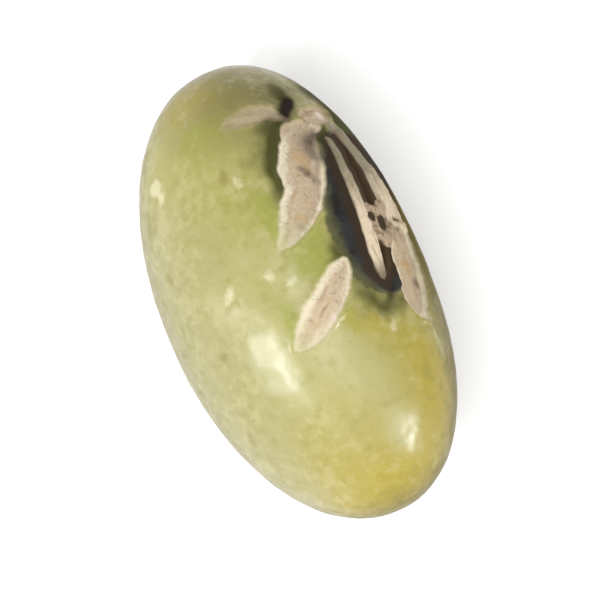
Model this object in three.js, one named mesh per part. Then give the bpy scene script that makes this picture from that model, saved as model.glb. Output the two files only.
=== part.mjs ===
// One roasted edamame bean: a dried green soybean out of its pod, lying on a table.
//
// The bean is shaped in its own axes, in millimetres, as if it lay flat on one of its halves:
//   x  runs along the bean, and its eye lies nearer to the +x end
//   y  runs from the belly, which carries the eye and faces -y, to the back
//   z  runs across the two halves, +z up
// It is then rolled about x until the eye looks up, and set down on the small flat spot under it,
// with the origin on the table under the middle of its box.

import * as THREE from 'three';
import { mergeVertices } from 'three/addons/utils/BufferGeometryUtils.js';

// Driving dimensions, in millimetres and degrees.
const LENGTH = 12.65;
const WIDTH = 7.27; // from the back to the belly
const THICKNESS = 6.52; // across the two halves
const ROLL = 40; // how far the eye looks up from the table's plane
const FOOT_DEPTH = 0.22; // how much of the round underside the flat spot takes away

const FULLNESS = 2.11; // 2 is an ellipsoid, and more is squarer
const BEND = 0.26; // how far both ends lean towards the belly
const GIRTH = (WIDTH + THICKNESS) / 4; // mean radius round the middle

// Marks on the skin. Each is an oval: `along` is its place along the bean in millimetres, `round`
// its angle up from the belly line, `turn` how far its own length turns away from the bean's, `bow`
// how far its middle bulges sideways, and `blunt` its ends: 1 is pointed, and less is rounder.
const EYE = { along: 1.28, round: -1, length: 4.8, width: 3.1, turn: -8, bow: 0, blunt: 0.55 };
const STRIPS = [
  { along: 1.45, round: 7.5, length: 4.1, width: 0.32, turn: -9, bow: 0.03, blunt: 0.5 },
  { along: 0.6, round: 11.6, length: 2, width: 0.38, turn: -9, bow: 0, blunt: 0.4 },
  { along: 2.6, round: -9.5, length: 2.6, width: 0.46, turn: 5, bow: -0.05, blunt: 0.5 },
  { along: 1.15, round: -10.5, length: 2.9, width: 0.74, turn: -2, bow: -0.05, blunt: 0.5 },
];
const SLIT = { along: 1.5, round: 3.6, length: 4.1, width: 0.3, turn: -12, bow: -0.2, blunt: 0.6 };

// Where the outer skin has split open. Each tear is one oval, or a few that run together.
const TEARS = [
  [
    { along: 2.5, round: 28.3, length: 3.6, width: 1.04, turn: 137, bow: 0, blunt: 0.7 },
    { along: 3.45, round: 22.5, length: 2.4, width: 1, turn: 143, bow: 0.08, blunt: 0.6 },
  ],
  [{ along: 4.12, round: -3, length: 1.5, width: 0.7, turn: 81, bow: 0, blunt: 0.7 }],
  [{ along: 4.72, round: 34, length: 1.8, width: 0.46, turn: 68, bow: -0.1, blunt: 0.9 }],
  [{ along: -0.72, round: 44.5, length: 2.95, width: 0.88, turn: 129, bow: 0, blunt: 0.7 }],
  [
    { along: -0.6, round: -6, length: 2.7, width: 1.35, turn: -8, bow: -0.05, blunt: 0.6 },
    { along: -1.5, round: -3.8, length: 1.2, width: 0.5, turn: 14, bow: 0, blunt: 0.8 },
  ],
];

// Heights over the plain skin, in millimetres, and the widths of the slopes up to them.
const ROOT = { along: -2.9, round: 0, reach: 1.5, breadth: 0.8, height: 0.12 }; // a low bulge
const EYE_HEIGHT = 0.09;
const EYE_SLOPE = 0.35;
const STRIP_HEIGHT = 0.07;
const STRIP_SLOPE = 0.12;
const SLIT_DEPTH = 0.11;
const SLIT_SLOPE = 0.14;
const TEAR_DEPTH = 0.07;
const TEAR_SLOPE = 0.16;
const RIM_HEIGHT = 0.05;
const RIM_WIDTH = 0.13;
const WAVE_HEIGHT = 0.03;

// The mesh is a ball of 20 * (DETAIL + 1)^2 triangles, drawn together round the marks.
const DETAIL = 20;
const GATHER = 0.62;
const GATHER_AT = { along: 1.6, round: 12 };

const degrees = THREE.MathUtils.degToRad;
const bell = (distance, reach) => Math.exp(-((distance / reach) ** 2));
const inside = (gap, slope) => 1 - THREE.MathUtils.smoothstep(gap, -slope, 0.02);

// A place on the skin: its share of the way along the bean, and its angle up from the belly line.
function placeOf(direction) {
  const { x, y, z } = direction;
  const size = Math.abs(x) ** FULLNESS + Math.abs(y) ** FULLNESS + Math.abs(z) ** FULLNESS;
  const stretch = size ** (-1 / FULLNESS);
  return { share: x * stretch, stretch, round: Math.atan2(z, -y) };
}

// How far a place lies from a mark, in millimetres along the bean and up round it.
function offset(mark, place) {
  const girth = GIRTH * Math.sqrt(Math.max(0, 1 - place.share ** 2));
  const turn = place.round - degrees(mark.round);
  return {
    along: (LENGTH / 2) * place.share - mark.along,
    up: Math.atan2(Math.sin(turn), Math.cos(turn)) * girth,
  };
}

// How far outside a mark's oval a place is, in millimetres. Inside it is negative.
function outside(mark, place) {
  const { along, up } = offset(mark, place);
  const turn = degrees(mark.turn);
  const u = along * Math.cos(turn) + up * Math.sin(turn);
  const v = up * Math.cos(turn) - along * Math.sin(turn);
  const swell = Math.max(0, 1 - ((2 * u) / mark.length) ** 2);
  const beyond = Math.max(0, Math.abs(u) - mark.length / 2);
  return Math.abs(v - mark.bow * swell) - (mark.width / 2) * swell ** mark.blunt + beyond;
}

function eyeRelief(place) {
  const strips = Math.min(...STRIPS.map((strip) => outside(strip, place)));
  return EYE_HEIGHT * inside(outside(EYE, place), EYE_SLOPE)
    + STRIP_HEIGHT * inside(strips, STRIP_SLOPE)
    - SLIT_DEPTH * inside(outside(SLIT, place), SLIT_SLOPE);
}

function tearRelief(place) {
  let height = 0;
  for (const ovals of TEARS) {
    const gap = Math.min(...ovals.map((oval) => outside(oval, place)));
    height += RIM_HEIGHT * bell(gap, RIM_WIDTH) - TEAR_DEPTH * inside(gap, TEAR_SLOPE);
  }
  return height;
}

// The seed's root swells the skin below the eye.
function rootRelief(place) {
  const root = offset(ROOT, place);
  return ROOT.height * bell(root.along, ROOT.reach) * bell(root.up, ROOT.breadth);
}

// Slow, shallow unevenness that keeps the bean from looking turned on a lathe.
function waves(place) {
  const { share, round } = place;
  const slow = Math.sin(2.6 * share + 0.8) * Math.sin(2 * round + 0.6);
  const quick = Math.sin(5.2 * share - 1) * Math.sin(3 * round + 2);
  return WAVE_HEIGHT * (slow + 0.6 * quick) * (1 - share ** 2);
}

// The point of the skin that lies in a direction from the bean's middle.
function skinPoint(direction) {
  const place = placeOf(direction);
  const point = new THREE.Vector3(
    (LENGTH / 2) * place.share,
    (WIDTH / 2) * direction.y * place.stretch - BEND * (place.share ** 2 - 0.2),
    (THICKNESS / 2) * direction.z * place.stretch,
  );
  const outward = new THREE.Vector3(
    direction.x / LENGTH,
    direction.y / WIDTH,
    direction.z / THICKNESS,
  ).normalize();
  const height = eyeRelief(place) + tearRelief(place) + rootRelief(place) + waves(place);
  return point.addScaledVector(outward, height);
}

// Draws a direction towards a centre, so that the triangles there are the smallest.
function gathered(direction, centre) {
  const angle = direction.angleTo(centre);
  const side = direction.clone().addScaledVector(centre, -direction.dot(centre));
  if (side.length() < 1e-6) return direction.clone();
  const closer = angle - GATHER * Math.sin(angle);
  return centre.clone().multiplyScalar(Math.cos(closer))
    .addScaledVector(side.normalize(), Math.sin(closer));
}

function directionAt({ along, round }) {
  const share = (2 * along) / LENGTH;
  const rest = Math.sqrt(1 - share ** 2);
  const angle = degrees(round);
  return new THREE.Vector3(share, -rest * Math.cos(angle), rest * Math.sin(angle));
}

// Rolls the bean, presses its foot flat on the table, and centres it over the origin.
function setDown(geometry) {
  geometry.rotateX(-degrees(ROLL));
  geometry.computeBoundingBox();
  const foot = geometry.boundingBox.min.z + FOOT_DEPTH;
  const positions = geometry.getAttribute('position');
  for (let i = 0; i < positions.count; i += 1) {
    positions.setZ(i, Math.max(positions.getZ(i), foot));
  }
  const middle = geometry.boundingBox.getCenter(new THREE.Vector3());
  geometry.translate(-middle.x, -middle.y, -foot);
  geometry.computeVertexNormals();
  return geometry;
}

function beanGeometry() {
  const ball = new THREE.IcosahedronGeometry(1, DETAIL);
  ball.deleteAttribute('normal');
  ball.deleteAttribute('uv');
  const geometry = mergeVertices(ball, 1e-5);
  const positions = geometry.getAttribute('position');
  const centre = directionAt(GATHER_AT);
  for (let i = 0; i < positions.count; i += 1) {
    const even = new THREE.Vector3().fromBufferAttribute(positions, i).normalize();
    const point = skinPoint(gathered(even, centre));
    positions.setXYZ(i, point.x, point.y, point.z);
  }
  return setDown(geometry);
}

const seedCoat = new THREE.MeshStandardMaterial({ color: '#b9b666', roughness: 0.4, metalness: 0 });

const bean = new THREE.Mesh(beanGeometry(), seedCoat);
bean.name = 'bean';

const part = new THREE.Group();
part.add(bean);

export default part;
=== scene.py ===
# %% [markdown]
# # A roasted edamame bean
#
# This lesson dresses one small seed, 12.65 mm long, that lies on a table: a green soybean, dried
# and roasted out of its pod. A bean is a smooth, simple body, so everything that makes it look real
# is in its skin: the black eye with its pale strips, the patches where the outer skin has torn
# open, the slow change from olive to gold, and the satin gloss over all of it.
#
# The imported model is the frame that every piece has to fit. Its box is kept from the start, and
# the camera and the lights are aimed at its middle.

# %% Load the frame
import math

import bmesh
import bpy
import numpy as np
from mathutils import Matrix, Vector, noise


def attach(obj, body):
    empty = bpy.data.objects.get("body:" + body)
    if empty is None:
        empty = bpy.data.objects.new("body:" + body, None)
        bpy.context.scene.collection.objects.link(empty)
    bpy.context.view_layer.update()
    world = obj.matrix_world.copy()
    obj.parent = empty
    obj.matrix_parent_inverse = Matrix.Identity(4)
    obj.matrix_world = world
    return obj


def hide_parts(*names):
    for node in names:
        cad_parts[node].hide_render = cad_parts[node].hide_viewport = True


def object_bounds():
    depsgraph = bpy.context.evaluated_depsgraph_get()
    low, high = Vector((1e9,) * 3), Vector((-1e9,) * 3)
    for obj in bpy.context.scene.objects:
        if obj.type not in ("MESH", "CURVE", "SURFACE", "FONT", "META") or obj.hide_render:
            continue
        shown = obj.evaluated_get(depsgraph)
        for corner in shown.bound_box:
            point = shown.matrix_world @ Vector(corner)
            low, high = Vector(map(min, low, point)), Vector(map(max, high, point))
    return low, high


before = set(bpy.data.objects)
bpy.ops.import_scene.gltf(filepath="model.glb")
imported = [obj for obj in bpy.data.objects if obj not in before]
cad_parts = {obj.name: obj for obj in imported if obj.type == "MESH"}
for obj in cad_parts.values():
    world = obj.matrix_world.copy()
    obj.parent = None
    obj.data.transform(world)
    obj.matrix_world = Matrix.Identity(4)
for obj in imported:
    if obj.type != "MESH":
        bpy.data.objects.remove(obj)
cad_low, cad_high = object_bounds()
MM = 0.001
print("the bean's box in mm:", [round(side / MM, 2) for side in cad_high - cad_low])

# %% [markdown]
# ## The camera
#
# The bean is seen from straight above, from about half a metre, which is far away for something so
# small. A long lens gives that flat, nearly parallel look. The camera is turned about its own axis
# so that the bean leans as it does in the photograph, with the end by its eye at the upper left.

# %% Camera
CAMERA_HEIGHT = 0.5
FRAME_WIDTH = 15.6 * MM
LEAN = math.radians(23.9)
SENSOR = 36.0

camera = bpy.data.objects.new("camera", bpy.data.cameras.new("camera"))
camera.data.sensor_width = SENSOR
bean_middle = (cad_low + cad_high) / 2
camera.data.lens = SENSOR * (CAMERA_HEIGHT - bean_middle.z) / FRAME_WIDTH
camera.data.clip_start = 0.05
camera.data.clip_end = 5.0
camera.location = (bean_middle.x, bean_middle.y, CAMERA_HEIGHT)
camera.rotation_euler = (0.0, 0.0, -math.pi / 2 - LEAN)
bpy.context.scene.collection.objects.link(camera)
bpy.context.scene.camera = camera
print("lens in mm:", round(camera.data.lens))

# %% [markdown]
# ## The body's shape
#
# A bean grows as a plump, slightly squared ellipsoid. It could be sculpted by hand, but a formula
# keeps the measured length, width and thickness exact. Each point of a unit ball is a direction,
# and the formula says how far the skin lies in that direction. The bean is shaped lying flat on one
# of its halves, with its belly towards -y, and is rolled into its resting place afterwards.

# %% The bean's sizes in millimetres
LENGTH = 12.65
WIDTH = 7.27  # from the back to the belly
THICKNESS = 6.52  # across the two halves
ROLL = math.radians(40)  # how far the eye looks up
FOOT_DEPTH = 0.22  # what the flat spot underneath takes away
FULLNESS = 2.11  # 2 is an ellipsoid, and more is squarer
BEND = 0.26  # how far both ends lean towards the belly
BEND_OFFSET = 0.2  # share of the bend that the middle leans back
GIRTH = (WIDTH + THICKNESS) / 4  # mean radius round the middle
print("length, width and thickness:", LENGTH, WIDTH, THICKNESS)

# %% [markdown]
# ## A ball with small faces where they are needed
#
# An icosphere has evenly spread triangles, but the bean needs its detail round the eye. Each
# triangle near the marks is first split in four. Then the points are drawn together there, along
# great circles, which costs no faces at all. In the middle of the marks the triangles end up a
# sixth as wide as on the far side.

# %% The ball
GATHER = 0.5  # how strongly the points are drawn together
GATHER_ALONG = 1.6  # the middle of the marks, in millimetres along the bean
GATHER_ROUND = math.radians(14)  # and its angle up from the belly line
SPLIT_ANGLE = 1.2  # how far from there triangles are split, in radians

share = 2 * GATHER_ALONG / LENGTH
rest = math.sqrt(1 - share * share)
centre = Vector((share, -rest * math.cos(GATHER_ROUND), rest * math.sin(GATHER_ROUND)))

ball = bmesh.new()
bmesh.ops.create_icosphere(ball, subdivisions=7, radius=1.0)
nearby = {vertex for vertex in ball.verts if vertex.co.angle(centre) < SPLIT_ANGLE}
edges = [edge for edge in ball.edges if nearby.issuperset(edge.verts)]
bmesh.ops.subdivide_edges(ball, edges=edges, cuts=1, use_grid_fill=True)
bmesh.ops.triangulate(ball, faces=ball.faces)
print("faces:", len(ball.faces), "points:", len(ball.verts))

# %% Draw the points together
even = np.array([vertex.co.normalized() for vertex in ball.verts])
cosine = np.clip(even @ np.array(centre), -1, 1)
angle = np.arccos(cosine)
side = even - cosine[:, None] * np.array(centre)
side /= np.maximum(np.linalg.norm(side, axis=1, keepdims=True), 1e-9)
closer = (angle - GATHER * np.sin(angle))[:, None]
direction = np.cos(closer) * np.array(centre) + np.sin(closer) * side
print("angles to the centre shrink near it by", GATHER)

# %% [markdown]
# ## Places on the skin
#
# The marks need coordinates that follow the skin. Two are enough: how far along the bean a point
# lies, and its angle up from the belly line. Times the local radius, the angle becomes millimetres,
# so a mark can be drawn almost as if the skin were paper.

# %% Skin coordinates
stretch = (np.abs(direction) ** FULLNESS).sum(axis=1) ** (-1 / FULLNESS)
along_share = direction[:, 0] * stretch
along = along_share * LENGTH / 2
round_angle = np.arctan2(direction[:, 2], -direction[:, 1])
local_radius = GIRTH * np.sqrt(np.maximum(0, 1 - along_share**2))

plain_skin = np.column_stack(
    [
        along,
        WIDTH / 2 * direction[:, 1] * stretch - BEND * (along_share**2 - BEND_OFFSET),
        THICKNESS / 2 * direction[:, 2] * stretch,
    ]
)
outward = direction / np.array([LENGTH, WIDTH, THICKNESS])
outward /= np.linalg.norm(outward, axis=1, keepdims=True)


NOISE_STEP = (13.7, -7.3, 3.1)  # takes each seed to a place of its own in the noise


def noise_field(scale, seed):
    """Smooth random values from about -1 to 1, one for each point; scale is bumps a millimetre."""
    shift = Vector([seed * step for step in NOISE_STEP])
    return np.array([noise.noise(Vector(point) * scale + shift) for point in plain_skin])


print("the skin runs along", round(along.min(), 2), "to", round(along.max(), 2), "mm")

# %% [markdown]
# ## Ovals with ragged edges
#
# The eye, its strips and every tear are long ovals, blunter or more pointed, sometimes bowed. One
# function measures how far outside such an oval each point lies, in millimetres, and inside the
# number is negative. A torn edge isn't smooth, so the coordinates are shaken first with noise of
# three sizes. The shape and the colours both read these distances, which keeps them together.

# %% Shaken coordinates
SHAKES = [(0.05, 1.3), (0.05, 3.4), (0.008, 9.0)]  # size in millimetres, bumps a millimetre
EDGE = 0.02  # how far a slope runs out past its edge, in millimetres


def shaking(seed):
    """Noise of three sizes, in millimetres."""
    fields = [size * noise_field(scale, seed + step) for step, (size, scale) in enumerate(SHAKES)]
    return sum(fields)


shake_along = shaking(20)
shake_up = shaking(30)
print("edges are shaken by up to", round(np.abs(shake_along).max(), 3), "mm")

# %% Distance to an oval


def in_oval(oval, shake=1.0):
    """Coordinates along and across an oval, in millimetres from its middle."""
    turned = round_angle - math.radians(oval["round"])
    up = np.arctan2(np.sin(turned), np.cos(turned)) * local_radius + shake * shake_up
    forward = along - oval["along"] + shake * shake_along
    turn = math.radians(oval.get("turn", 0))
    lengthwise = forward * math.cos(turn) + up * math.sin(turn)
    crosswise = up * math.cos(turn) - forward * math.sin(turn)
    return lengthwise, crosswise


def outside(oval, shake=1.0):
    """How far outside an oval each point lies, in millimetres."""
    lengthwise, crosswise = in_oval(oval, shake)
    swell = np.maximum(0, 1 - (2 * lengthwise / oval["length"]) ** 2)
    beyond = np.maximum(0, np.abs(lengthwise) - oval["length"] / 2)
    half = oval["width"] / 2 * swell ** oval.get("blunt", 0.6)
    return np.abs(crosswise - oval.get("bow", 0) * swell) - half + beyond


def outside_all(ovals, shake=1.0):
    """How far outside the nearest of some ovals each point lies."""
    return np.min([outside(oval, shake) for oval in ovals], axis=0)


def bell(distance, reach):
    return np.exp(-((distance / reach) ** 2))


def inside(gap, slope):
    """1 inside, 0 outside, with a smooth slope that ends at the edge."""
    ramp = np.clip((gap + slope) / (slope + EDGE), 0, 1)
    return 1 - ramp * ramp * (3 - 2 * ramp)


edge_test = inside(np.array([-0.1, 0.0, EDGE]), 0.1)
print("a slope's share before, at and past its edge:", np.round(edge_test, 2))

# %% [markdown]
# ## The eye
#
# The eye is the scar where the bean hung in its pod: a black oval cushion with the last of the
# stalk on it, two pale strips that widen towards their lower ends. A slit runs down between them,
# and crumbs of the strips have fallen across it. All of these are ovals, whose places are read from
# the photograph and turned into sizes on the real bean.

# %% Ovals of the eye
EYE = dict(along=1.3, round=1, length=4.65, width=3.05, turn=-15, bow=-0.15, blunt=0.5)
STRIPS = [
    dict(along=1.45, round=7.5, length=4.1, width=0.32, turn=-9, bow=0.03, blunt=0.5),
    dict(along=0.46, round=10.3, length=2.05, width=0.41, turn=-9, blunt=0.4),
    dict(along=2.6, round=-9.5, length=2.6, width=0.4, turn=5, bow=-0.05, blunt=0.5),
    dict(along=1.15, round=-10.5, length=2.9, width=0.74, turn=-2, bow=-0.05, blunt=0.5),
]
SLIT = dict(along=1.5, round=3.6, length=4.1, width=0.3, turn=-12, bow=-0.2)
CRUMBS = [
    dict(along=1.16, round=0.6, length=0.8, width=0.32, turn=57),
    dict(along=0.94, round=3.2, length=0.6, width=0.3, turn=15),
    dict(along=0.45, round=1.5, length=1.1, width=0.46, turn=42),
    dict(along=0.66, round=-2.6, length=0.6, width=0.3, turn=60),
    dict(along=1.12, round=-3.4, length=0.6, width=0.36, turn=-20),
]
PITS = [
    dict(along=1.07, round=4.2, length=0.26, width=0.16, turn=20),
    dict(along=0.8, round=-0.6, length=0.38, width=0.22, turn=-15),
    dict(along=0.66, round=-9.5, length=0.24, width=0.16, turn=0),
]
print("ovals on the eye:", len(STRIPS) + len(CRUMBS) + len(PITS) + 1)

# %% Distances on the eye
EYE_SHAKE = 1.3  # the eye's edge is the most ragged
PIT_MARGIN = 0.06  # how far a pit reaches out past its oval
CRUMB_OVERHANG = 0.04  # how far the slit runs in under a crumb

eye_gap = outside(EYE, EYE_SHAKE)
crumb_gap = outside_all(CRUMBS, 0.7)
pit_gap = outside_all(PITS, 0.5)
strip_gap = np.minimum(outside_all(STRIPS, 0.55), crumb_gap)
strip_gap = np.maximum(strip_gap, PIT_MARGIN - pit_gap)
slit_gap = np.maximum(outside(SLIT, 0.9), -CRUMB_OVERHANG - crumb_gap)
print("points in the eye:", int((eye_gap < 0).sum()), "on the strips:", int((strip_gap < 0).sum()))

# %% [markdown]
# ## The tears
#
# In roasting the outer skin has burst in five places. The largest tear, beside the eye, is four
# ovals that run together, and the smallest lies at its upper end. Each has a tone of its own, dull
# or pale, and a rim of its own strength, which on two of them is wider on one side. Three fade out
# towards their far end, where the outer skin is only worn thin, and some have softer edges.

# %% Ovals of the tears
TEARS = [
    [
        dict(along=2.46, round=33, length=3.56, width=1.1, turn=139, bow=0.2, blunt=0.88),
        dict(along=3.26, round=21, length=2.3, width=1.0, turn=133, bow=-0.15),
        dict(along=3.68, round=17, length=1.22, width=0.87, turn=119, bow=-0.11),
        dict(along=3.81, round=6, length=0.7, width=0.45, turn=95),
    ],
    [dict(along=4.1, round=-6, length=1.25, width=0.62, turn=81)],
    [dict(along=4.49, round=36, length=1.9, width=0.53, turn=75, bow=-0.3, blunt=0.85)],
    [dict(along=-0.52, round=44, length=2.8, width=0.94, turn=128, bow=0.08, blunt=0.5)],
    [
        dict(along=-0.6, round=-6, length=2.7, width=1.35, turn=-8, bow=-0.05),
        dict(along=-1.5, round=-3.8, length=1.2, width=0.5, turn=14, blunt=0.8),
    ],
]
print("tears:", len(TEARS), "made of", sum(len(ovals) for ovals in TEARS), "ovals")

# %% What each tear is like
TONES = [0.5, 0.5, 0.6, 0.65, 0.5]  # 0 is dull, and 1 is pale
RIMS = [0.9, 0.35, 0.0, 0.7, 0.8]  # how pale the rim is
RIM_SIDES = [0.1, 0.0, 0.0, 0.1, 0.0]  # how much wider the rim is on one side
STRENGTHS = [1.0, 0.9, 0.7, 0.95, 1.0]  # 1 where the outer skin is gone
FADES = [0.75, 0.0, 0.6, 0.5, 0.0]  # how much of that is lost at the far end
SHARPNESS = [0.8, 0.6, 0.35, 0.7, 1.0]  # less is a softer edge
RIM_REACH = 0.6  # where a one-sided rim stops changing, in millimetres from the tear's middle
TEAR_STEP = 9  # sets the tears' streaks apart in the noise

tear_gaps = [outside_all(ovals) for ovals in TEARS]
tear_gap = np.min(tear_gaps, axis=0)
nearest_tear = np.argmin(tear_gaps, axis=0)
tear_tone = np.array(TONES)[nearest_tear]
tear_rim = np.array(RIMS)[nearest_tear]
tear_edge = tear_gap * np.array(SHARPNESS)[nearest_tear]
print("points inside a tear:", int((tear_gap < 0).sum()))

# %% Coordinates in each tear
tear_lengthwise = np.zeros(len(along))
tear_crosswise = np.zeros(len(along))
tear_strength = np.zeros(len(along))
for number, (ovals, strength, fade) in enumerate(zip(TEARS, STRENGTHS, FADES)):
    lengthwise, crosswise = in_oval(ovals[0], 0.4)
    here = nearest_tear == number
    tear_lengthwise[here] = lengthwise[here] + TEAR_STEP * number
    tear_crosswise[here] = crosswise[here]
    far_end = np.clip(2 * lengthwise[here] / ovals[0]["length"], 0, 1)
    tear_strength[here] = strength * (1 - fade * far_end**2)
rim_side = np.array(RIM_SIDES)[nearest_tear]
rim_shift = rim_side * np.clip(tear_crosswise, -RIM_REACH, RIM_REACH)
print("rims shift by up to", round(np.abs(rim_shift).max(), 3), "mm")

# %% [markdown]
# ## Flecks
#
# Small flakes of skin have lifted here and there and catch the light, and there are a few darker
# specks. Three of the pale flecks on top are painted glints. Those that the photograph shows stand
# at their own places. The sides that it doesn't show get others of the same kinds, scattered by
# seeded chance, so that each run gives the same bean.

# %% Pale and dark flecks
PALE_FLECKS_AND_GLINTS = [
    dict(along=4.05, round=109, length=0.4, width=0.6, turn=0),
    dict(along=3.75, round=104, length=0.3, width=0.35, turn=30),
    # These three, on top in the middle of the bean, are painted glints where its wrinkles catch
    # light.
    dict(along=0.71, round=59.4, length=0.26, width=0.2, turn=80),
    dict(along=0.38, round=52, length=0.3, width=0.16, turn=120),
    dict(along=0.66, round=80.5, length=0.6, width=0.16, turn=135),
    dict(along=3.3, round=56.7, length=0.36, width=0.2, turn=20),
    dict(along=-1.78, round=16, length=0.28, width=0.16, turn=0),
    dict(along=-2.25, round=-9, length=1.7, width=0.08, turn=13, bow=0.06),
]
DARK_FLECKS = [
    dict(along=3.59, round=63, length=0.4, width=0.26, turn=170),
    dict(along=1.71, round=111, length=0.36, width=0.22, turn=40),
    dict(along=-3.04, round=109, length=0.5, width=0.22, turn=160),
    dict(along=-0.76, round=97, length=0.4, width=0.2, turn=120),
]

SCATTERED = 26  # flecks on the sides that the photograph doesn't show

chance = np.random.default_rng(7)
for _ in range(SCATTERED):
    fleck = dict(
        along=chance.uniform(-5.2, 5.2),
        round=chance.uniform(125, 320),
        length=chance.uniform(0.25, 0.8),
        width=chance.uniform(0.12, 0.28),
        turn=chance.uniform(0, 180),
    )
    (PALE_FLECKS_AND_GLINTS if chance.random() < 0.5 else DARK_FLECKS).append(fleck)

pale_fleck_and_glint_gap = outside_all(PALE_FLECKS_AND_GLINTS, 0.8)
dark_gap = outside_all(DARK_FLECKS, 0.8)
print("flecks:", len(PALE_FLECKS_AND_GLINTS), "pale,", len(DARK_FLECKS), "dark")

# %% [markdown]
# ## Relief
#
# Heights over the plain skin are added up in one place. The eye is a low cushion, its strips stand
# on it and its slit is cut into it. In a tear the skin is missing, so the floor lies lower and is
# rough, and the edge curls up unevenly. Slow waves and shallow dimples keep the rest of the skin
# from looking turned on a lathe.

# %% Belly and eye, heights in millimetres
ROOT = dict(along=-2.9, round=0, height=0.12, reach=1.5, breadth=0.8)  # a low bulge
EYE_HEIGHT = 0.09
EYE_SLOPE = 0.35
STRIP_HEIGHT = 0.07
STRIP_SLOPE = 0.12
SLIT_DEPTH = 0.11
SLIT_SLOPE = 0.14

root_along, root_up = in_oval(ROOT, 0)
relief = ROOT["height"] * bell(root_along, ROOT["reach"]) * bell(root_up, ROOT["breadth"])
relief += EYE_HEIGHT * inside(eye_gap, EYE_SLOPE)
strip_height = STRIP_HEIGHT + 0.03 * noise_field(3.0, 5) + 0.02 * noise_field(9.0, 6)
relief += inside(strip_gap, STRIP_SLOPE) * strip_height
relief -= SLIT_DEPTH * inside(slit_gap, SLIT_SLOPE)
print("belly and eye from", round(relief.min(), 3), "to", round(relief.max(), 3))

# %% Tears and flecks
RIM_HEIGHT = 0.05
RIM_PLACE = 0.03  # the rim's crest lies this far outside the tear's edge
RIM_WIDTH = 0.07
TEAR_DEPTH = 0.07
TEAR_SLOPE = 0.1
FLECK_HEIGHT = 0.02
FLECK_SLOPE = 0.1
FURROWS = (1.1, 4.5)  # furrows a millimetre, along and across a tear

curl = np.maximum(0, 1 + 1.2 * noise_field(1.9, 7) + 0.6 * noise_field(6.0, 8))
relief += RIM_HEIGHT * curl * tear_strength**2 * bell(tear_gap - RIM_PLACE, RIM_WIDTH)
furrows = [
    noise.noise(Vector((FURROWS[0] * u, FURROWS[1] * v, 0.5)))
    for u, v in zip(tear_lengthwise, tear_crosswise)
]
floor_height = 0.025 * np.array(furrows) + 0.014 * noise_field(11.0, 9)
relief -= inside(tear_gap, TEAR_SLOPE) * tear_strength**2 * (TEAR_DEPTH - floor_height)
relief += FLECK_HEIGHT * inside(pale_fleck_and_glint_gap, FLECK_SLOPE)
relief -= FLECK_HEIGHT * inside(dark_gap, FLECK_SLOPE)
print("with the tears from", round(relief.min(), 3), "to", round(relief.max(), 3))

# %% Waves and dimples
WAVE_HEIGHT = 0.03

slow = np.sin(2.6 * along_share + 0.8) * np.sin(2 * round_angle + 0.6)
quick = np.sin(5.2 * along_share - 1) * np.sin(3 * round_angle + 2)
relief += WAVE_HEIGHT * (slow + 0.6 * quick) * (1 - along_share**2)
dimples = 0.014 * noise_field(0.9, 10) + 0.009 * noise_field(2.2, 11) + 0.003 * noise_field(6.0, 12)
relief += dimples * (1 - inside(tear_gap, TEAR_SLOPE))
print("whole relief from", round(relief.min(), 3), "to", round(relief.max(), 3), "mm")

# %% [markdown]
# ## Setting the bean down
#
# The points move onto the skin, roll about the bean's length until the eye looks up, and sink until
# the round underside has a small flat spot. The bean's middle then goes over the origin, as in the
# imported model. Its place is in its mesh, so the object itself stays unmoved.

# %% The bean's mesh
skin = plain_skin + outward * relief[:, None]
rolled = skin @ np.array(Matrix.Rotation(-ROLL, 3, "X")).T
foot = rolled[:, 2].min() + FOOT_DEPTH
rolled[:, 2] = np.maximum(rolled[:, 2], foot) - foot
middle = (rolled[:, :2].min(axis=0) + rolled[:, :2].max(axis=0)) / 2
rolled[:, :2] -= middle

for vertex, place in zip(ball.verts, rolled * MM):
    vertex.co = place
for face in ball.faces:
    face.smooth = True
bmesh.ops.recalc_face_normals(ball, faces=ball.faces)

bean_mesh = bpy.data.meshes.new("bean_skin")
ball.to_mesh(bean_mesh)
ball.free()
bean = bpy.data.objects.new("bean_skin", bean_mesh)
bpy.context.scene.collection.objects.link(bean)
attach(bean, "root")
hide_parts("bean")
print("the bean's sides in mm:", np.round(np.ptp(rolled, axis=0), 2))

# %% [markdown]
# ## Where the colours lie
#
# Some colours have no edge: the dark bloom beside the largest tear and round the eye with its three
# black spots, the fresh green between the tears, the gold of the belly, a pale painted sheen on top,
# and the stains inside the tears. Each is a handful of soft round spots, added up, that fade
# outwards. Two halos follow an edge instead: painted shade below the eye, and the bloom beside the
# largest tear. One of the bloom's spots, low on the belly side, is painted shade too.
#
# The side that the bean lies on is painted darker and browner all along, as painted shade. That
# shade is an angle rather than a spot: it is full underneath, and fades out a little above the
# belly's and the back's lower edge. At the two tips all angles meet, so the values are drawn to one
# there, and no seam shows.

# %% Soft spots
SPOT_SHAKE = 1.5  # spots are shaken more than edges are


def soft_spots(spots, shake=SPOT_SHAKE):
    """Adds up round spots, each (along, round, reach along, reach round, strength)."""
    total = np.zeros(len(along))
    for spot_along, spot_round, reach_along, reach_up, strength in spots:
        far_along, far_up = in_oval(dict(along=spot_along, round=spot_round), shake)
        total += strength * bell(far_along, reach_along) * bell(far_up, reach_up)
    return total


print("spots are shaken by up to", round(SPOT_SHAKE * np.abs(shake_along).max(), 3), "mm")
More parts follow.
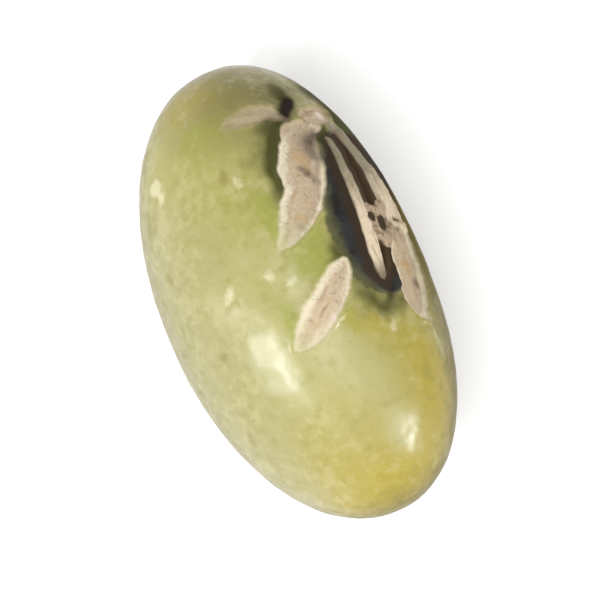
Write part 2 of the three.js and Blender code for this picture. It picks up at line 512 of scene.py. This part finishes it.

# %% Dark bloom, with one spot of painted shade
dark_bloom_and_shade = soft_spots(
    [
        (4.45, 18, 0.3, 0.3, 0.3),
        (4.15, 34, 0.3, 0.3, 0.25),
        (5.0, 16, 0.3, 0.35, 0.45),
        (4.97, -5, 0.3, 0.35, 0.35),
        (3.8, 33, 0.4, 0.4, 0.35),
        (3.3, 38, 0.4, 0.4, 0.25),
        (5.18, 4, 0.3, 0.35, 0.5),
        (4.84, 4.8, 0.25, 0.3, 0.6),
        (3.62, 1, 0.28, 0.3, 1.4),
        (3.7, -23, 0.3, 0.3, 1.1),
        (3.4, 6, 0.3, 0.15, 0.8),
        (4.77, -21, 0.35, 0.4, 0.4),
        (5.5, 12, 0.4, 0.8, 0.25),
        (-0.4, 27, 0.45, 0.22, 0.6),
        (-1.15, 4, 0.25, 0.2, 0.4),
        (-0.95, 11, 0.25, 0.2, 0.5),
        (-0.8, 22, 0.4, 0.26, 0.8),
        (-1.2, 16, 0.36, 0.36, 0.8),
        (-1.15, 29, 0.3, 0.25, 0.3),
        (-1.3, 7, 0.4, 0.4, 0.5),
        # painted shade, low on the belly side near the top end
        (4.2, -34, 0.6, 0.5, 0.2),
        (3.71, 47, 0.35, 0.35, 0.3),
        (0.55, 29, 0.5, 0.25, 0.95),
    ]
)
black_spot = soft_spots(
    [(4.72, 4, 0.2, 0.2, 0.9), (4.58, 10.5, 0.24, 0.24, 1.0), (4.4, 17, 0.2, 0.2, 0.8)],
    0.8,
)
print("strongest bloom:", dark_bloom_and_shade.max(), "and black spot:", black_spot.max())

# %% Painted shade below the eye, and bloom that follows the largest tear's edge
# The halo below the eye is darker bloom round the eye and painted shade along the belly's edge.
HALO_FROM = -12  # the halo begins this many degrees below the belly line
HALO_FADE = 14  # and is full so many degrees further down
HALO_STRENGTH = 1.25
HALO_REACH = 0.7  # in half widths of the eye

eye_along, eye_across = in_oval(EYE, EYE_SHAKE)
beyond_eye = np.hypot(2 * eye_along / EYE["length"], 2 * eye_across / EYE["width"]) - 1
shade_below_eye = np.clip((HALO_FROM - np.degrees(round_angle)) / HALO_FADE, 0, 1)
dark_bloom_and_shade += HALO_STRENGTH * shade_below_eye * bell(np.maximum(beyond_eye, 0), HALO_REACH)

beside_tear = soft_spots(
    [(4.1, 24, 0.5, 0.5, 0.7), (3.6, 31, 0.7, 0.6, 1.0), (2.9, 40, 0.7, 0.5, 0.9)]
)
outer_gap = np.maximum(tear_gap, 0)
tear_halo = 0.8 * bell(outer_gap, 0.3) + 0.4 * bell(outer_gap, 0.75)
dark_bloom_and_shade += np.minimum(beside_tear, 1) * tear_halo
print("strongest bloom, with both halos:", dark_bloom_and_shade.max())

# %% Fresh green, gold and painted sheen
fresh_green = soft_spots(
    [
        (2.1, 50, 0.6, 0.22, 0.9),
        (-1.2, 35, 0.5, 0.3, 0.9),
        (1.2, 36, 0.8, 0.5, 0.9),
        (2.0, 49, 0.7, 0.3, 1.0),
        (0.6, 44, 0.5, 0.5, 0.9),
        (-0.56, 59, 0.8, 0.3, 0.9),
        (-1.0, 57, 0.5, 0.3, 0.6),
        (3.2, 62, 1.2, 1.0, 0.45),
        (4.6, 75, 0.6, 0.9, 0.3),
        (5.03, -16, 0.25, 0.3, 0.8),
        (5.0, 72, 0.5, 0.9, 0.5),
        (0.15, 33, 0.4, 0.3, 0.8),
        (-2.5, -18, 0.9, 0.4, 0.7),
    ]
)
gold = soft_spots(
    [
        (-1.23, 36, 0.5, 0.35, 0.5),
        (-1.5, 25, 0.6, 0.5, 0.9),
        (1.2, 58, 0.7, 0.5, 0.4),
        (-2.3, 12, 0.6, 0.6, 0.7),
        (-3.0, 2, 1.0, 0.7, 1.0),
        (-4.2, 0, 1.0, 0.7, 1.0),
        (-5.5, 10, 0.6, 0.9, 0.7),
        (-5.2, 40, 0.6, 0.8, 0.25),
        (5.8, 90, 0.6, 1.2, 0.9),
        (-5.6, 50, 0.7, 1.0, 0.6),
        (-5.8, 100, 0.6, 1.0, 0.6),
    ]
)
# A painted sheen: pale paint along the middle of the top, where the lights' reflection spreads.
painted_sheen = soft_spots(
    [
        (0.8, 52, 1.2, 0.6, 0.7),
        (-1.2, 48, 1.6, 0.9, 0.8),
        (-3.2, 35, 1.2, 0.7, 0.5),
        (0.4, 88, 0.7, 0.5, 0.8),
        (-0.7, 76, 0.7, 0.45, 0.5),
        (-1.8, 72, 0.7, 0.45, 0.5),
        (-2.9, 66, 0.8, 0.45, 0.45),
        (-4.1, 60, 0.7, 0.5, 0.35),
        (-4.4, 28.5, 0.6, 0.5, 0.8),
        (1.4, 68, 0.6, 0.4, 0.5),
        (1.2, 41, 0.3, 0.25, 0.7),
        (4.7, 112, 0.7, 0.6, 0.4),
    ]
)
print("strongest green, gold and dust:", fresh_green.max(), gold.max(), painted_sheen.max())

# %% Painted shade all along the lower side
# Painted shade: darker, browner paint on the side that the bean lies on, full underneath.
UNDER_FROM = -58  # the underside begins here, in degrees below the belly line
UNDER_TO = 140  # and ends here, low on the back
BELLY_REACH = 34  # how far the light shade climbs the belly, in degrees
BACK_REACH = 25  # and how far the deep one climbs the back
BACK_SHARE = 0.55  # how strong it is there
UNEVEN = [0.5, 2.5]  # between these places along the bean the deep shade's upper edge sinks
RISES = [22, 0]  # up to where it stays full, in degrees above the underside
REACHES = [32, 17]  # and over how many degrees it fades above that

below_belly = (UNDER_FROM - np.degrees(round_angle)) % 360
under_span = 360 + UNDER_FROM - UNDER_TO
underneath = below_belly < under_span
over_belly = 360 - below_belly
over_back = below_belly - under_span
belly_shade = 1 - np.clip(below_belly / under_span, 0, 1)
belly_shade = np.where(underneath, belly_shade, bell(over_belly, BELLY_REACH))

rise = np.interp(along, UNEVEN, RISES)
reach = np.interp(along, UNEVEN, REACHES)
under_shade = bell(np.maximum(over_belly - rise, 0), reach)
under_shade = under_shade + BACK_SHARE * bell(over_back, BACK_REACH)
deep_shade = BACK_SHARE + (1 - BACK_SHARE) * bell(below_belly, 45)
under_shade = np.where(underneath, deep_shade, under_shade)
print("points on the underside:", int(underneath.sum()))

# %% An angle that doesn't jump, and the two tips
FOLD_LOW = math.radians(40)  # the angle turns back this far below the belly line
FOLD_SHIFT = math.radians(220)  # and again half a turn further on, low on the back
TIP_RADIUS = 2.2  # the tips begin where the bean is this thin, in millimetres
TIP_SHADE = 0.4  # the value that both shades are drawn to
TIP_ROUND = math.radians(50)  # and the one that the angle is drawn to
TIP_FROM = 4.7  # each tip's own shade begins this far from the middle
TIP_LENGTH = 1.6  # and is full so much further out

folded_round = np.abs((round_angle + FOLD_SHIFT) % (2 * math.pi) - math.pi) - FOLD_LOW
off_tip = np.clip(local_radius / TIP_RADIUS, 0, 1)
belly_shade = TIP_SHADE + off_tip * (belly_shade - TIP_SHADE)
under_shade = TIP_SHADE + off_tip * (under_shade - TIP_SHADE)
folded_round = TIP_ROUND + off_tip * (folded_round - TIP_ROUND)
# Both tips get painted shade of their own, the golden one more.
tip_strength = np.where(along < 0, 0.47, 0.1)
under_shade += np.clip((np.abs(along) - TIP_FROM) / TIP_LENGTH, 0, 1) ** 2 * tip_strength
print("the folded angle runs up to", round(math.degrees(folded_round.max())), "degrees")

# %% Stains in the tears
stains = soft_spots(
    [
        (3.43, 15.5, 0.5, 0.35, 0.75),
        (3.62, 5, 0.28, 0.25, 0.75),
        (2.95, 12, 0.35, 0.2, 0.4),
        (3.57, 11, 0.24, 0.2, 0.35),
        (3.0, 26, 0.14, 0.14, 0.7),
        (2.79, 23.8, 0.14, 0.14, 0.8),
        (2.55, 22, 0.14, 0.14, 0.7),
        (1.58, 39.3, 0.14, 0.16, 0.6),
        (-0.19, 34, 0.24, 0.14, 0.35),
        (-0.55, 38.5, 0.3, 0.12, 0.35),
        (-1.02, -10.5, 0.2, 0.2, 0.9),
        (4.25, -2, 0.2, 0.14, 0.6),
    ],
    0.6,
)
pale_stains_and_glints = soft_spots(
    [
        # The first of these and the one at along -0.99 are painted glints on the tear floors.
        (2.95, 17, 0.2, 0.2, 0.4),
        (2.3, 22, 0.6, 0.14, 0.3),
        (1.6, 42, 0.4, 0.2, 0.4),
        (-0.99, 42, 0.16, 0.12, 0.8),
        (4.07, -9.8, 0.18, 0.2, 0.9),
        (1.3, 46, 0.2, 0.2, 0.5),
    ],
    0.6,
)
warm_stains = soft_spots(
    [
        (2.4, 30.2, 0.4, 0.3, 0.3),
        (3.2, 22.5, 0.45, 0.3, 0.95),
        (1.82, 37.6, 0.16, 0.16, 0.9),
        (-0.46, 41, 0.22, 0.14, 0.6),
        (-0.41, -5.1, 0.22, 0.25, 1.0),
        (-0.66, -7.5, 0.2, 0.2, 0.9),
        (4.0, -17, 0.14, 0.2, 0.7),
    ],
    0.6,
)
print("strongest stains:", stains.max(), pale_stains_and_glints.max(), warm_stains.max())

# %% [markdown]
# ## Handing the numbers to the material
#
# A mesh attribute stores one number at each point, and the shader reads it back by name. So the
# colours follow exactly the distances that shaped the bean.

# %% Attributes
NUMBERS = dict(
    along=along,
    round=folded_round,
    eye_gap=eye_gap,
    strip_gap=strip_gap,
    slit_gap=slit_gap,
    tear_edge=tear_edge,
    tear_tone=tear_tone,
    tear_rim=tear_rim,
    rim_shift=rim_shift,
    tear_strength=tear_strength,
    tear_lengthwise=tear_lengthwise,
    tear_crosswise=tear_crosswise,
    pale_fleck_and_glint_gap=pale_fleck_and_glint_gap,
    dark_gap=dark_gap,
    crumb_gap=crumb_gap,
    dark_bloom_and_shade=dark_bloom_and_shade,
    black_spot=black_spot,
    fresh_green=fresh_green,
    gold=gold,
    belly_shade=belly_shade,
    under_shade=under_shade,
    painted_sheen=painted_sheen,
    stains=stains,
    pale_stains_and_glints=pale_stains_and_glints,
    warm_stains=warm_stains,
)
for name, values in NUMBERS.items():
    attribute = bean_mesh.attributes.new(name, "FLOAT", "POINT")
    attribute.data.foreach_set("value", values.astype(np.float32))
print("attributes:", list(NUMBERS))

# %% [markdown]
# ## Shader sums in Python
#
# Node maths is easier to read as sums. A small class wraps an output socket, and each operator
# adds the Math node that it stands for, as abs and larger do. Every other node comes from one
# method, which sets the node's options first and its inputs afterwards.

# %% A field


class Field:
    """A value that changes over a surface."""

    def __init__(self, finish, socket):
        self.finish = finish
        self.socket = socket

    def maths(self, operation, *values):
        inputs = dict(enumerate(values))
        return self.finish.node("ShaderNodeMath", {"operation": operation}, inputs)

    def __add__(self, other):
        return self.maths("ADD", self, other)

    def __sub__(self, other):
        return self.maths("SUBTRACT", self, other)

    def __rsub__(self, other):
        return self.maths("SUBTRACT", other, self)

    def __mul__(self, other):
        return self.maths("MULTIPLY", self, other)

    def __abs__(self):
        return self.maths("ABSOLUTE", self)

    def larger(self, other):
        return self.maths("MAXIMUM", self, other)

    __radd__ = __add__
    __rmul__ = __mul__


# %% A finish


class Finish:
    """A material under construction."""

    def __init__(self, name):
        self.material = bpy.data.materials.new(name)
        self.material.use_nodes = True
        self.tree = self.material.node_tree
        self.tree.nodes.clear()

    def node(self, kind, settings=None, inputs=None, output=0):
        """Adds a node: its settings first, then the values or links of its inputs."""
        made = self.tree.nodes.new(kind)
        for key, value in (settings or {}).items():
            setattr(made, key, value)
        for key, value in (inputs or {}).items():
            if isinstance(value, Field):
                self.tree.links.new(value.socket, made.inputs[key])
            else:
                made.inputs[key].default_value = value
        return Field(self, made.outputs[output]) if made.outputs else None

    def attribute(self, name):
        return self.node("ShaderNodeAttribute", {"attribute_name": name}, output="Fac")

    def ramp(self, value, start, end):
        """0 before start, 1 past end, and smooth between. Start may be above end."""
        inputs = {"Value": value, "From Min": start, "From Max": end}
        return self.node("ShaderNodeMapRange", {"interpolation_type": "SMOOTHSTEP"}, inputs)

    def mix(self, share, first, second):
        """The first colour where share is 0, and the second where it is 1."""
        inputs = {0: share, 6: first, 7: second}
        return self.node("ShaderNodeMix", {"data_type": "RGBA"}, inputs, output=2)

    def vector(self, x, y, z):
        return self.node("ShaderNodeCombineXYZ", None, {"X": x, "Y": y, "Z": z})

    def grain(self, place, scale, detail=2.0, roughness=0.5, distortion=0.0):
        """Noise from 0 to 1, with scale bumps a millimetre."""
        inputs = {
            "Vector": place,
            "Scale": scale,
            "Detail": detail,
            "Roughness": roughness,
            "Distortion": distortion,
        }
        return self.node("ShaderNodeTexNoise", None, inputs)


# %% Colours


def linear(channel):
    """One channel of a web colour, from 0 to 1, as the linear value that shaders use."""
    return channel / 12.92 if channel <= 0.04045 else ((channel + 0.055) / 1.055) ** 2.4


def colour(code):
    """A colour from its web code, with its opacity last."""
    channels = [int(code[start : start + 2], 16) / 255 for start in (1, 3, 5)]
    return (*map(linear, channels), 1.0)


print("a mid green as the shader sees it:", [round(part, 3) for part in colour("#b9b666")])

# %% [markdown]
# ## The seed coat's colour
#
# The coat isn't one green. It is greyish olive at the end by the eye, khaki in the middle, yellower
# towards the other end and golden on the belly beyond the eye. Soft blotches, a mottle as fine as
# the skin's net of wrinkles, and a speckle break up all of these. The attributes say where, and
# noise says how unevenly: in each ramp, the two last numbers are where a colour begins and where it
# is full. The painted shade of the lower side comes last, over the eye and the tears too.

# %% Noise on the coat
coat = Finish("seed_coat")
place = coat.node("ShaderNodeTexCoord", output="Object")
place = coat.node("ShaderNodeVectorMath", {"operation": "SCALE"}, {0: place, "Scale": 1 / MM})

blotches = coat.grain(place, 0.5, 3.0) - 0.5
patches = coat.grain(place, 1.5, 4.0, 0.6, 0.6) - 0.5
mottle = coat.grain(place, 3.2, 2.0, 0.55, 0.3) - 0.5
speckle = coat.grain(place, 11.0, 1.0, 0.5) - 0.5
print("coat nodes so far:", len(coat.tree.nodes))

# %% Coat colour from end to end
KHAKI = colour("#928c51")
OLIVE = colour("#756c3b")
YELLOWER = colour("#938743")
GREY_BACK = colour("#8d8866")
BELLY_PAINTED_SHADE = colour("#6d5a18")
PAINTED_SHEEN = colour("#a8a37e")

along_here = coat.attribute("along")
round_here = coat.attribute("round")

olive_end = coat.ramp(along_here + 2.0 * blotches - round_here, 2.4, 5.2)
yellow_end = coat.ramp(along_here + 3.0 * blotches + 1.2 * round_here, -0.2, -4.2)
back_side = coat.ramp(round_here + 0.8 * blotches, 1.0, 2.0)
back_side = back_side * coat.ramp(along_here + blotches, 4.6, 2.6)
skin_colour = coat.mix(olive_end, KHAKI, OLIVE)
skin_colour = coat.mix(yellow_end, skin_colour, YELLOWER)
skin_colour = coat.mix(0.65 * back_side, skin_colour, GREY_BACK)

# Painted shade on the belly side, and a painted sheen on top.
shade_here = coat.ramp(coat.attribute("belly_shade") + 0.4 * patches + 0.2 * blotches, 0.1, 1.0)
sheen_here = coat.ramp(coat.attribute("painted_sheen") + 0.4 * patches + 0.2 * mottle, 0.0, 1.2)
skin_colour = coat.mix(0.75 * shade_here, skin_colour, BELLY_PAINTED_SHADE)
skin_colour = coat.mix(0.65 * sheen_here, skin_colour, PAINTED_SHEEN)
print("coat nodes so far:", len(coat.tree.nodes))

# %% Fresh green and gold
FRESH_GREEN = colour("#818434")
GOLD = colour("#948529")

green_here = coat.ramp(coat.attribute("fresh_green") + 0.9 * patches + 0.5 * mottle, 0.1, 1.1)
gold_here = coat.ramp(coat.attribute("gold") + 0.8 * patches + 0.7 * mottle, 0.05, 1.25)
skin_colour = coat.mix(0.75 * green_here, skin_colour, FRESH_GREEN)
skin_colour = coat.mix(0.7 * gold_here, skin_colour, GOLD)
print("coat nodes so far:", len(coat.tree.nodes))

# %% Mottle, speckle and flecks
MOTTLE_GREEN = colour("#807b3c")
MOTTLE_PALE = colour("#aaa276")
SPECK = colour("#716531")
PALE_FLECK_AND_GLINT = colour("#c9c2a2")
DARK_FLECK = colour("#746a2c")

greener = coat.ramp(mottle + 0.7 * patches, 0.0, 0.3)
paler = coat.ramp(mottle + 0.8 * blotches + 0.15 * speckle, 0.0, -0.3)
specks = coat.ramp(speckle + 0.25 * mottle, 0.22, 0.36)
skin_colour = coat.mix(0.4 * greener, skin_colour, MOTTLE_GREEN)
skin_colour = coat.mix(0.35 * paler, skin_colour, MOTTLE_PALE)
skin_colour = coat.mix(0.25 * specks, skin_colour, SPECK)

pale_fleck_and_glint = coat.ramp(coat.attribute("pale_fleck_and_glint_gap") + 0.15 * speckle + 0.15 * mottle, 0.12, -0.12)
dark_fleck = coat.ramp(coat.attribute("dark_gap") + 0.1 * speckle + 0.1 * mottle, 0.12, -0.14)
skin_colour = coat.mix(0.5 * pale_fleck_and_glint, skin_colour, PALE_FLECK_AND_GLINT)
skin_colour = coat.mix(0.6 * dark_fleck, skin_colour, DARK_FLECK)
print("coat nodes so far:", len(coat.tree.nodes))

# %% Dark bloom with painted shade, and black spots
BLOOM_AND_SHADE = colour("#292b10")
BLACK_SPOT = colour("#180f15")

bloom_and_shade = coat.ramp(coat.attribute("dark_bloom_and_shade") + 0.3 * patches + 0.15 * mottle, 0.0, 1.2)
black_here = coat.ramp(coat.attribute("black_spot") + 0.3 * mottle, 0.05, 1.05)
skin_colour = coat.mix(0.88 * bloom_and_shade, skin_colour, BLOOM_AND_SHADE)
skin_colour = coat.mix(0.95 * black_here, skin_colour, BLACK_SPOT)
print("coat nodes so far:", len(coat.tree.nodes))

# %% [markdown]
# ## The eye's colours
#
# The cushion is nearly black: grey where it is smooth, and brown along the strips and the slit. It
# isn't cut out sharply, and its edge bleeds into the green. The strips lie over the black. They are
# cream with fine fibres, dull and greyish at their upper ends, and their lowest tips fade to brown.
# The slit itself is brown, painted darker as shade in its cut, and the crumbs that lie across it
# are dull and pitted.

# %% The black cushion
BLEED = colour("#34341d")
SLATE = colour("#1d1d1d")
PALE_SLATE = colour("#2b2d2d")
BROWN_BY_STRIP = colour("#32271d")
BROWN_BY_SLIT = colour("#3d3023")

eye_here = coat.attribute("eye_gap")
strip_here = coat.attribute("strip_gap")
slit_here = coat.attribute("slit_gap")

bleed = coat.ramp(eye_here + 0.5 * patches + 0.3 * mottle, 0.26, 0.0)
skin_colour = coat.mix(0.85 * bleed, skin_colour, BLEED)

near_strip = coat.ramp(strip_here + 0.3 * mottle, 0.55, 0.15)
near_slit = coat.ramp(slit_here, 0.2, 0.0)
black = coat.mix(coat.ramp(mottle, -0.2, 0.2), SLATE, PALE_SLATE)
black = coat.mix(near_strip, black, BROWN_BY_STRIP)
black = coat.mix(near_slit, black, BROWN_BY_SLIT)
in_eye = coat.ramp(eye_here + 0.05 * speckle + 0.15 * mottle, 0.07, -0.24)
skin_colour = coat.mix(in_eye, skin_colour, black)
print("coat nodes so far:", len(coat.tree.nodes))

# %% Strips, crumbs and slit
DULL_CREAM = colour("#7f7763")
CREAM = colour("#c4b49b")
TIP_BROWN = colour("#5c5040")
CRUMB = colour("#96826a")
CRUMB_BROWN = colour("#5a4737")
FIBRE = colour("#7d6951")
SLIT_BROWN_AND_SHADE = colour("#3b2d1f")

fibre_place = coat.vector(along_here * 1.1, round_here * 24.0, 0.0)
fibres = coat.grain(fibre_place, 1.5, 4.0, 0.65) - 0.5

lower_end = coat.ramp(along_here + mottle, 2.7, 0.9)
tip = coat.ramp(along_here + 0.3 * mottle, 0.2, -0.55)
crumb = coat.ramp(coat.attribute("crumb_gap") + 0.2 * mottle, 0.06, -0.06)
crumb_shade = coat.ramp(mottle + 0.8 * speckle, 0.0, 0.25)
cream = coat.mix(lower_end, DULL_CREAM, CREAM)
cream = coat.mix(0.9 * tip, cream, TIP_BROWN)
cream = coat.mix(0.8 * crumb, cream, CRUMB)
cream = coat.mix(0.7 * crumb * crumb_shade, cream, CRUMB_BROWN)
cream = coat.mix(coat.ramp(fibres, 0.02, 0.22), cream, FIBRE)

in_strip = coat.ramp(strip_here + 0.08 * fibres, 0.06, -0.03)
# The slit's brown is partly painted shade in its cut.
in_slit = coat.ramp(slit_here + 0.08 * mottle, 0.02, -0.06)
skin_colour = coat.mix(in_strip, skin_colour, cream)
skin_colour = coat.mix(0.95 * in_slit, skin_colour, SLIT_BROWN_AND_SHADE)
print("coat nodes so far:", len(coat.tree.nodes))

# %% [markdown]
# ## The tears' colours
#
# Under the torn skin lies a tan layer, streaked along the tear, with dull brown pits and a few
# rusty grains. The broken edge of the outer skin shows its own thickness as a thin cream rim,
# interrupted here and there. Dark and pale stains lie over all of that, the rim too, and two of the
# pale spots are painted glints.

# %% The floor of the tears
DULL_TAN = colour("#90806b")
PALE_TAN = colour("#bdab90")
DARK_STREAK = colour("#8c7660")
PALE_STREAK = colour("#c2b49d")
RUSTY_GRAIN = colour("#a9865c")
BROWN_PIT = colour("#77665c")
WARM_STAIN = colour("#a58b66")

tear_along = coat.attribute("tear_lengthwise")
tear_across = coat.attribute("tear_crosswise")
streak_place = coat.vector(tear_along * 0.9, tear_across * 4.0, 0.0)
streaks = coat.grain(streak_place, 1.3, 4.0, 0.7) - 0.5
pits = coat.ramp(coat.grain(place, 3.6, 2.0, 0.6), 0.6, 0.72)
grains = coat.ramp(coat.grain(place, 3.4, 2.0, 0.6), 0.42, 0.33)
warm_here = coat.ramp(coat.attribute("warm_stains") + 0.3 * mottle, 0.2, 1.2)

tan = coat.mix(coat.attribute("tear_tone"), DULL_TAN, PALE_TAN)
tan = coat.mix(0.8 * coat.ramp(streaks, 0.0, 0.2), tan, DARK_STREAK)
tan = coat.mix(0.8 * coat.ramp(streaks, -0.05, -0.22), tan, PALE_STREAK)
tan = coat.mix(0.35 * grains, tan, RUSTY_GRAIN)
tan = coat.mix(0.3 * pits, tan, BROWN_PIT)
tan = coat.mix(warm_here, tan, WARM_STAIN)
print("coat nodes so far:", len(coat.tree.nodes))

# %% Rims and stains
RIM_CREAM = colour("#d0c6ae")
STAIN = colour("#55463b")
PALE_STAIN_AND_GLINT = colour("#cdbdb0")
RIM_INSET = 0.06  # the rim's middle lies this far inside the tear's edge, in millimetres
RIM_ENDS = (4.15, 3.75)  # between these places along the bean the rims fade out

tear_here = coat.attribute("tear_edge")
rim_offset = abs(tear_here + RIM_INSET) + coat.attribute("rim_shift")
rim = coat.ramp(rim_offset + 0.12 * mottle + 0.15 * patches, 0.16, 0.0)
rim = rim * coat.attribute("tear_rim") * coat.ramp(along_here, *RIM_ENDS)
stain_here = coat.ramp(coat.attribute("stains") + 0.3 * mottle, 0.15, 1.2)
pale_stain_and_glint_here = coat.ramp(coat.attribute("pale_stains_and_glints") + 0.3 * mottle, 0.2, 0.9)
tan = coat.mix(rim, tan, RIM_CREAM)
tan = coat.mix(stain_here, tan, STAIN)
tan = coat.mix(pale_stain_and_glint_here, tan, PALE_STAIN_AND_GLINT)

in_tear = coat.ramp(tear_here + 0.05 * mottle, 0.03, -0.06) * coat.attribute("tear_strength")
skin_colour = coat.mix(in_tear, skin_colour, tan)
print("coat nodes so far:", len(coat.tree.nodes))

# %% Painted shade of the lower side, over everything
UNDER_PAINTED_SHADE = colour("#514505")

under_here = coat.ramp(coat.attribute("under_shade") + 0.4 * patches + 0.2 * mottle, 0.05, 1.05)
shade_share = 0.9 * under_here * (1.0 - 0.55 * in_tear)
skin_colour = coat.mix(shade_share, skin_colour, UNDER_PAINTED_SHADE)
print("coat nodes so far:", len(coat.tree.nodes))

# %% [markdown]
# ## Gloss and fine relief
#
# The skin itself is nearly matt. Most of its gloss comes from a thin clear coat, as on a polished
# seed, and that coat is left out where the skin is torn or stained, and under the painted shade.
# What is finer than the mesh goes into a bump: fine wrinkles that break up the highlights, a grain,
# and the fibres of the tears and strips.

# %% Fine relief
WRINKLE_STRETCH = (1.8, 1.0, 1.0)  # wrinkles lie closer together along the bean
BUMP_HEIGHT = 0.04 * MM
BUMP_STRENGTH = 0.7

wrinkle_place = coat.node(
    "ShaderNodeVectorMath", {"operation": "MULTIPLY"}, {0: place, 1: WRINKLE_STRETCH}
)
wrinkles = coat.grain(wrinkle_place, 1.4, 3.0, 0.55, 1.5) - 0.5
height = patches + 0.35 * mottle + 0.06 * speckle - 0.7 * abs(wrinkles)
height = height + 1.5 * streaks * in_tear - 0.8 * pits * in_tear + 1.2 * fibres * in_strip
bump = coat.node(
    "ShaderNodeBump",
    None,
    {"Height": height, "Strength": BUMP_STRENGTH, "Distance": BUMP_HEIGHT},
)
print("coat nodes so far:", len(coat.tree.nodes))

# %% Gloss
dull_places = in_tear.larger(in_eye).larger(bloom_and_shade + black_here)
matt_places = dull_places.larger(under_here)
shader = coat.node(
    "ShaderNodeBsdfPrincipled",
    None,
    {
        "Base Color": skin_colour,
        "Roughness": 0.36 + 0.2 * patches + 0.05 * speckle + 0.4 * dull_places,
        "Normal": bump,
        "Coat Weight": 0.5 - 0.5 * matt_places,
        "Coat Roughness": 0.26,
        "Specular IOR Level": 0.08,
    },
)
coat.node("ShaderNodeOutputMaterial", None, {"Surface": shader})
bean_mesh.materials.append(coat.material)
print("coat nodes:", len(coat.tree.nodes))

# %% [markdown]
# ## Floor and light
#
# Product pictures on pure white are lit so strongly that the paper burns out and its shadows with
# it. A white floor under a bright, even sky does the same. Four soft boxes give the highlights. The
# key box makes the slanting streak on the bean's back, and the veil box, lower and dimmer, the
# sheen that fades out beside it. The wide top box lightens the middle, and the fill box, almost
# level on the right, makes the spot near the golden end.

# %% Floor
FLOOR_RADIUS = 0.6  # in metres

floor_shape = bmesh.new()
bmesh.ops.create_circle(floor_shape, cap_ends=True, segments=96, radius=FLOOR_RADIUS)
floor_mesh = bpy.data.meshes.new("floor")
floor_shape.to_mesh(floor_mesh)
floor_shape.free()
floor = bpy.data.objects.new("floor", floor_mesh)
bpy.context.scene.collection.objects.link(floor)

paper = Finish("white_paper")
paper_shader = paper.node(
    "ShaderNodeBsdfPrincipled", None, {"Base Color": colour("#f7f7f7"), "Roughness": 0.9}
)
paper.node("ShaderNodeOutputMaterial", None, {"Surface": paper_shader})
floor_mesh.materials.append(paper.material)
print("floor radius in m:", FLOOR_RADIUS)

# %% Sky
WHITE = (1.0, 1.0, 1.0, 1.0)
SKY_STRENGTH = 1.01  # a little over white, so that the paper burns out

world = bpy.data.worlds.new("sky")
world.use_nodes = True
sky = world.node_tree.nodes["Background"]
sky.inputs["Color"].default_value = WHITE
sky.inputs["Strength"].default_value = SKY_STRENGTH
bpy.context.scene.world = world
bpy.context.scene.view_settings.view_transform = "Standard"
print("sky strength:", SKY_STRENGTH)

# %% Soft boxes
BOX_DISTANCE = 0.35  # from the bean, in metres
BOX_COLOUR = (0.98, 0.99, 1.0)


def soft_box(name, bearing, tilt, size, watts):
    """An area light that faces the bean: bearing from +x round to +y, tilt from straight up."""
    lamp = bpy.data.objects.new(name, bpy.data.lights.new(name, "AREA"))
    lamp.data.shape = "ELLIPSE"
    lamp.data.size, lamp.data.size_y = size
    lamp.data.energy = watts
    lamp.data.color = BOX_COLOUR
    bearing, tilt = math.radians(bearing), math.radians(tilt)
    flat = math.sin(tilt)
    away = Vector((flat * math.cos(bearing), flat * math.sin(bearing), math.cos(tilt)))
    lamp.location = bean_middle + away * BOX_DISTANCE
    lamp.rotation_mode = "QUATERNION"
    lamp.rotation_quaternion = away.to_track_quat("Z", "Y")
    bpy.context.scene.collection.objects.link(lamp)


soft_box("key_box", 106, 52, (0.06, 0.03), 0.47)
soft_box("top_box", 150, 20, (0.24, 0.16), 0.34)
soft_box("veil_box", 98, 65, (0.05, 0.1), 0.37)
soft_box("fill_box", 215, 72, (0.035, 0.06), 0.5)
